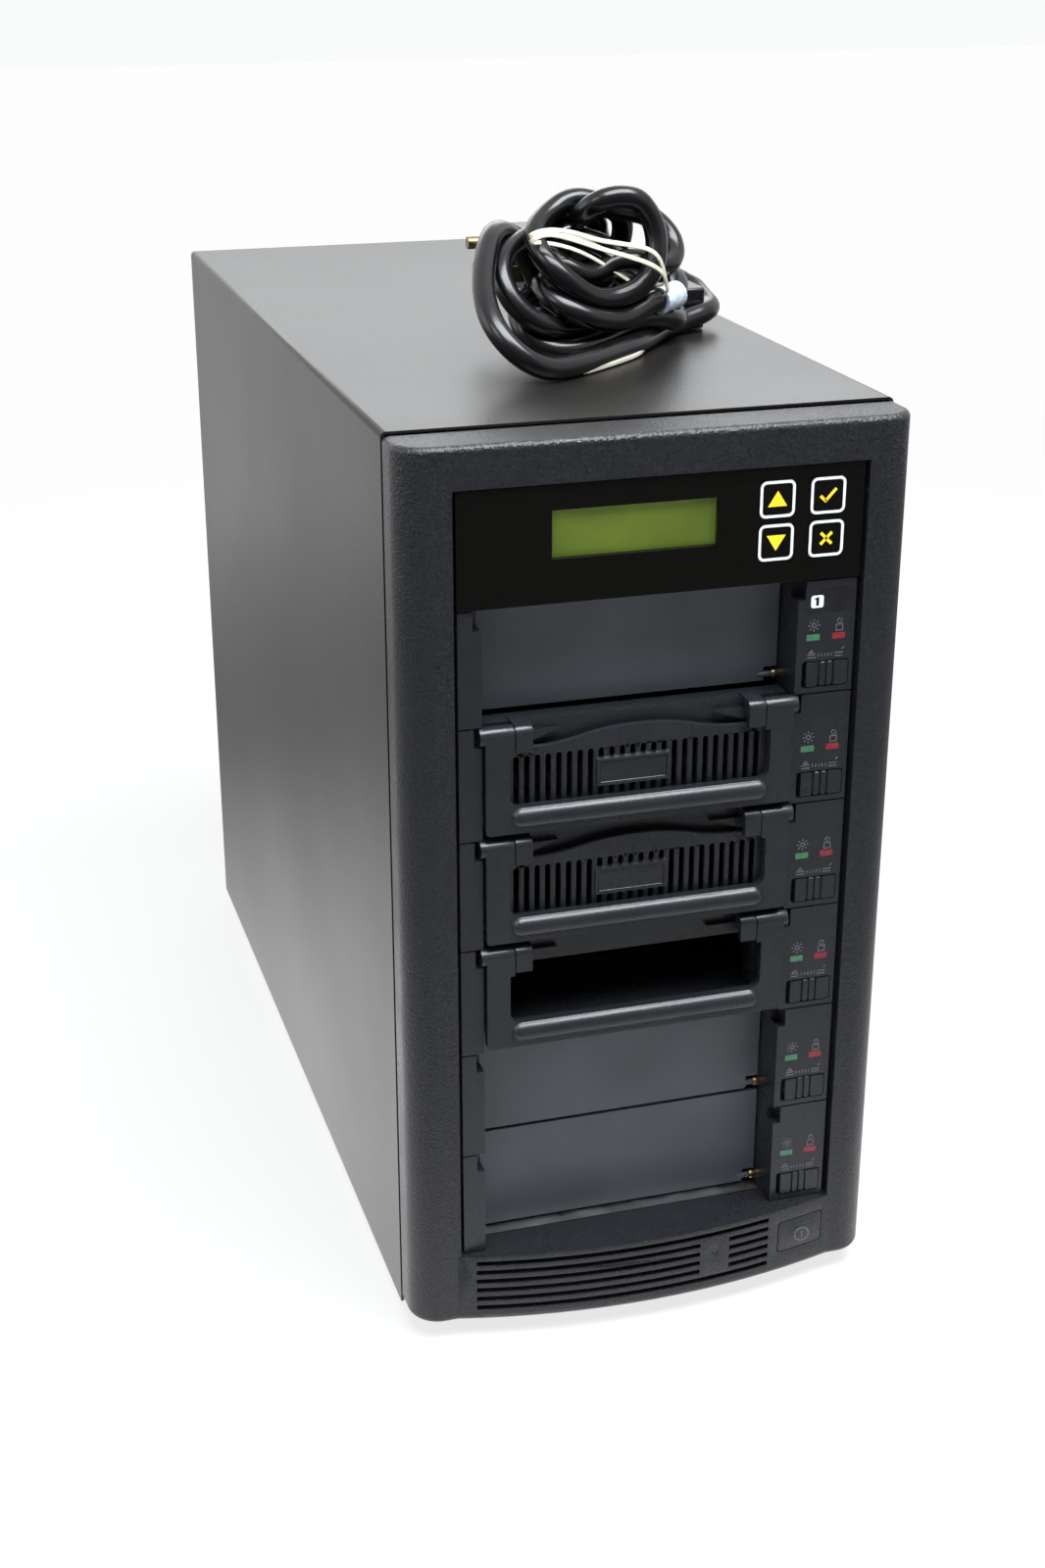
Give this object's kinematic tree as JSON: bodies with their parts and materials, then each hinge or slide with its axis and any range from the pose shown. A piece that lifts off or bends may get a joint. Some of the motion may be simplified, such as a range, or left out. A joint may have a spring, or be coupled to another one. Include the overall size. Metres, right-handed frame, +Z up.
{
  "type": "drive duplicator",
  "caption": "Tower case with a control panel and a stack of removable-drive racks, some holding trays with pull handles, that copies one hard drive to several others.",
  "frame": {"origin": "on the floor under the middle of the tower, mains lead left out", "axes": "+Z up, the bezel faces -Y, +X to the right of someone facing the bezel"},
  "size_m": [0.188, 0.44, 0.4115],
  "materials": {
    "powder_black": "fine-textured black powder coat",
    "zinc_steel": "zinc-plated sheet steel",
    "bezel_black": "spark-textured black ABS",
    "dark_plastic": "smooth black plastic",
    "lamp_clear": "clear light pipe",
    "rubber": "black rubber",
    "gloss_black": "gloss black membrane panel",
    "display_green": "yellow-green display",
    "board_green": "solder-masked circuit board",
    "rack_black": "satin charcoal-black plastic",
    "shutter_black": "satin charcoal-black plastic",
    "lamp_green": "green light pipe",
    "lamp_red": "red light pipe",
    "spring_brass": "brass-coloured wire",
    "chrome_wire": "plated wire",
    "screw_steel": "plated steel",
    "lead_black": "glossy black PVC"
  },
  "bodies": {
    "case": {"backplanes": "board_green", "case_screws": "screw_steel", "chassis": "zinc_steel", "controller_board": "board_green", "cover_shell": "powder_black", "display_window": "display_green", "drive_cage": "zinc_steel", "fan_guards": "chrome_wire", "feet": "rubber", "folded_shutters": "shutter_black", "front_bezel": "bezel_black", "green_lamps": "lamp_green", "inlet_prongs": "spring_brass", "lead_connector": "lead_black", "lead_hank": "lead_black", "lead_plug": "lead_black", "panel_board": "board_green", "panel_face": "gloss_black", "panel_housing": "rack_black", "power_inlet": "dark_plastic", "power_lamp": "lamp_clear", "power_switch": "dark_plastic", "rack_source": "rack_black", "rack_target_1": "rack_black", "rack_target_2": "rack_black", "rack_target_3": "rack_black", "rack_target_4": "rack_black", "rack_target_5": "rack_black", "rear_fan_frame": "dark_plastic", "red_lamps": "lamp_red", "rocker_frame": "dark_plastic", "shutter_springs": "spring_brass", "supply_case": "zinc_steel", "supply_fan_frame": "dark_plastic"},
    "tray_3": {"tray_3_body": "rack_black"},
    "tray_3_handle": {"tray_3_handle": "rack_black"},
    "tray_2": {"tray_2_body": "rack_black", "tray_2_grille": "rack_black"},
    "tray_2_handle": {"tray_2_handle": "rack_black"},
    "tray_1": {"tray_1_body": "rack_black", "tray_1_grille": "rack_black"},
    "tray_1_handle": {"tray_1_handle": "rack_black"},
    "shutter_target_5": {"shutter_target_5": "shutter_black"},
    "shutter_target_4": {"shutter_target_4": "shutter_black"},
    "shutter_source": {"shutter_source": "shutter_black"},
    "lock_target_5": {"lock_target_5": "rack_black"},
    "lock_target_4": {"lock_target_4": "rack_black"},
    "lock_target_3": {"lock_target_3": "rack_black"},
    "lock_target_2": {"lock_target_2": "rack_black"},
    "lock_target_1": {"lock_target_1": "rack_black"},
    "lock_source": {"lock_source": "rack_black"},
    "key_up": {"key_up": "gloss_black"},
    "key_down": {"key_down": "gloss_black"},
    "key_ok": {"key_ok": "gloss_black"},
    "key_esc": {"key_esc": "gloss_black"},
    "power_button": {"power_button": "bezel_black"},
    "rocker_cap": {"rocker_cap": "dark_plastic"},
    "supply_fan_rotor": {"supply_fan_rotor": "dark_plastic"},
    "rear_fan_rotor": {"rear_fan_rotor": "dark_plastic"}
  },
  "joints": [
    {"name": "tray_3_slide", "type": "slide", "parent": "case", "child": "tray_3", "axis": [0, -1, 0], "range_m": [0, 0.16]},
    {"name": "tray_3_handle_swing", "type": "hinge", "parent": "tray_3", "child": "tray_3_handle", "pos_m": [-0.00685, -0.207, 0.1612], "axis": [-1, 0, 0], "range_deg": [0, 90]},
    {"name": "tray_2_slide", "type": "slide", "parent": "case", "child": "tray_2", "axis": [0, -1, 0], "range_m": [0, 0.16]},
    {"name": "tray_2_handle_swing", "type": "hinge", "parent": "tray_2", "child": "tray_2_handle", "pos_m": [-0.00685, -0.207, 0.2039], "axis": [-1, 0, 0], "range_deg": [0, 90]},
    {"name": "tray_1_slide", "type": "slide", "parent": "case", "child": "tray_1", "axis": [0, -1, 0], "range_m": [0, 0.16]},
    {"name": "tray_1_handle_swing", "type": "hinge", "parent": "tray_1", "child": "tray_1_handle", "pos_m": [-0.00685, -0.207, 0.2466], "axis": [-1, 0, 0], "range_deg": [0, 90]},
    {"name": "shutter_target_5_swing", "type": "hinge", "parent": "case", "child": "shutter_target_5", "pos_m": [-0.00685, -0.191, 0.0395], "axis": [-1, 0, 0], "range_deg": [0, 90], "stiffness_Nm_per_rad": 0.01, "springref_deg": -57.3},
    {"name": "shutter_target_4_swing", "type": "hinge", "parent": "case", "child": "shutter_target_4", "pos_m": [-0.00685, -0.191, 0.0822], "axis": [-1, 0, 0], "range_deg": [0, 90], "stiffness_Nm_per_rad": 0.01, "springref_deg": -57.3},
    {"name": "shutter_source_swing", "type": "hinge", "parent": "case", "child": "shutter_source", "pos_m": [-0.00685, -0.191, 0.253], "axis": [-1, 0, 0], "range_deg": [0, 90], "stiffness_Nm_per_rad": 0.01, "springref_deg": -57.3},
    {"name": "lock_target_5_slide", "type": "slide", "parent": "case", "child": "lock_target_5", "axis": [-1, 0, 0], "range_m": [0, 0.0015]},
    {"name": "lock_target_4_slide", "type": "slide", "parent": "case", "child": "lock_target_4", "axis": [-1, 0, 0], "range_m": [0, 0.0015]},
    {"name": "lock_target_3_slide", "type": "slide", "parent": "case", "child": "lock_target_3", "axis": [-1, 0, 0], "range_m": [0, 0.0015]},
    {"name": "lock_target_2_slide", "type": "slide", "parent": "case", "child": "lock_target_2", "axis": [-1, 0, 0], "range_m": [0, 0.0015]},
    {"name": "lock_target_1_slide", "type": "slide", "parent": "case", "child": "lock_target_1", "axis": [-1, 0, 0], "range_m": [0, 0.0015]},
    {"name": "lock_source_slide", "type": "slide", "parent": "case", "child": "lock_source", "axis": [-1, 0, 0], "range_m": [0, 0.0015]},
    {"name": "key_up_press", "type": "slide", "parent": "case", "child": "key_up", "axis": [0, 1, 0], "range_m": [0, 0.0005], "stiffness_N_per_m": 1500, "springref_m": -0.0003},
    {"name": "key_down_press", "type": "slide", "parent": "case", "child": "key_down", "axis": [0, 1, 0], "range_m": [0, 0.0005], "stiffness_N_per_m": 1500, "springref_m": -0.0003},
    {"name": "key_ok_press", "type": "slide", "parent": "case", "child": "key_ok", "axis": [0, 1, 0], "range_m": [0, 0.0005], "stiffness_N_per_m": 1500, "springref_m": -0.0003},
    {"name": "key_esc_press", "type": "slide", "parent": "case", "child": "key_esc", "axis": [0, 1, 0], "range_m": [0, 0.0005], "stiffness_N_per_m": 1500, "springref_m": -0.0003},
    {"name": "power_button_press", "type": "slide", "parent": "case", "child": "power_button", "axis": [0, 1, 0], "range_m": [0, 0.002], "stiffness_N_per_m": 600, "springref_m": -0.001},
    {"name": "rocker_tip", "type": "hinge", "parent": "case", "child": "rocker_cap", "pos_m": [0.048, 0.208, 0.2815], "axis": [0, 0, 1], "range_deg": [0, 14]},
    {"name": "supply_fan_spin", "type": "hinge", "parent": "case", "child": "supply_fan_rotor", "pos_m": [-0.028, 0.211, 0.2975], "axis": [0, 1, 0], "continuous": true},
    {"name": "rear_fan_spin", "type": "hinge", "parent": "case", "child": "rear_fan_rotor", "pos_m": [0, 0.212, 0.185], "axis": [0, 1, 0], "continuous": true}
  ]
}
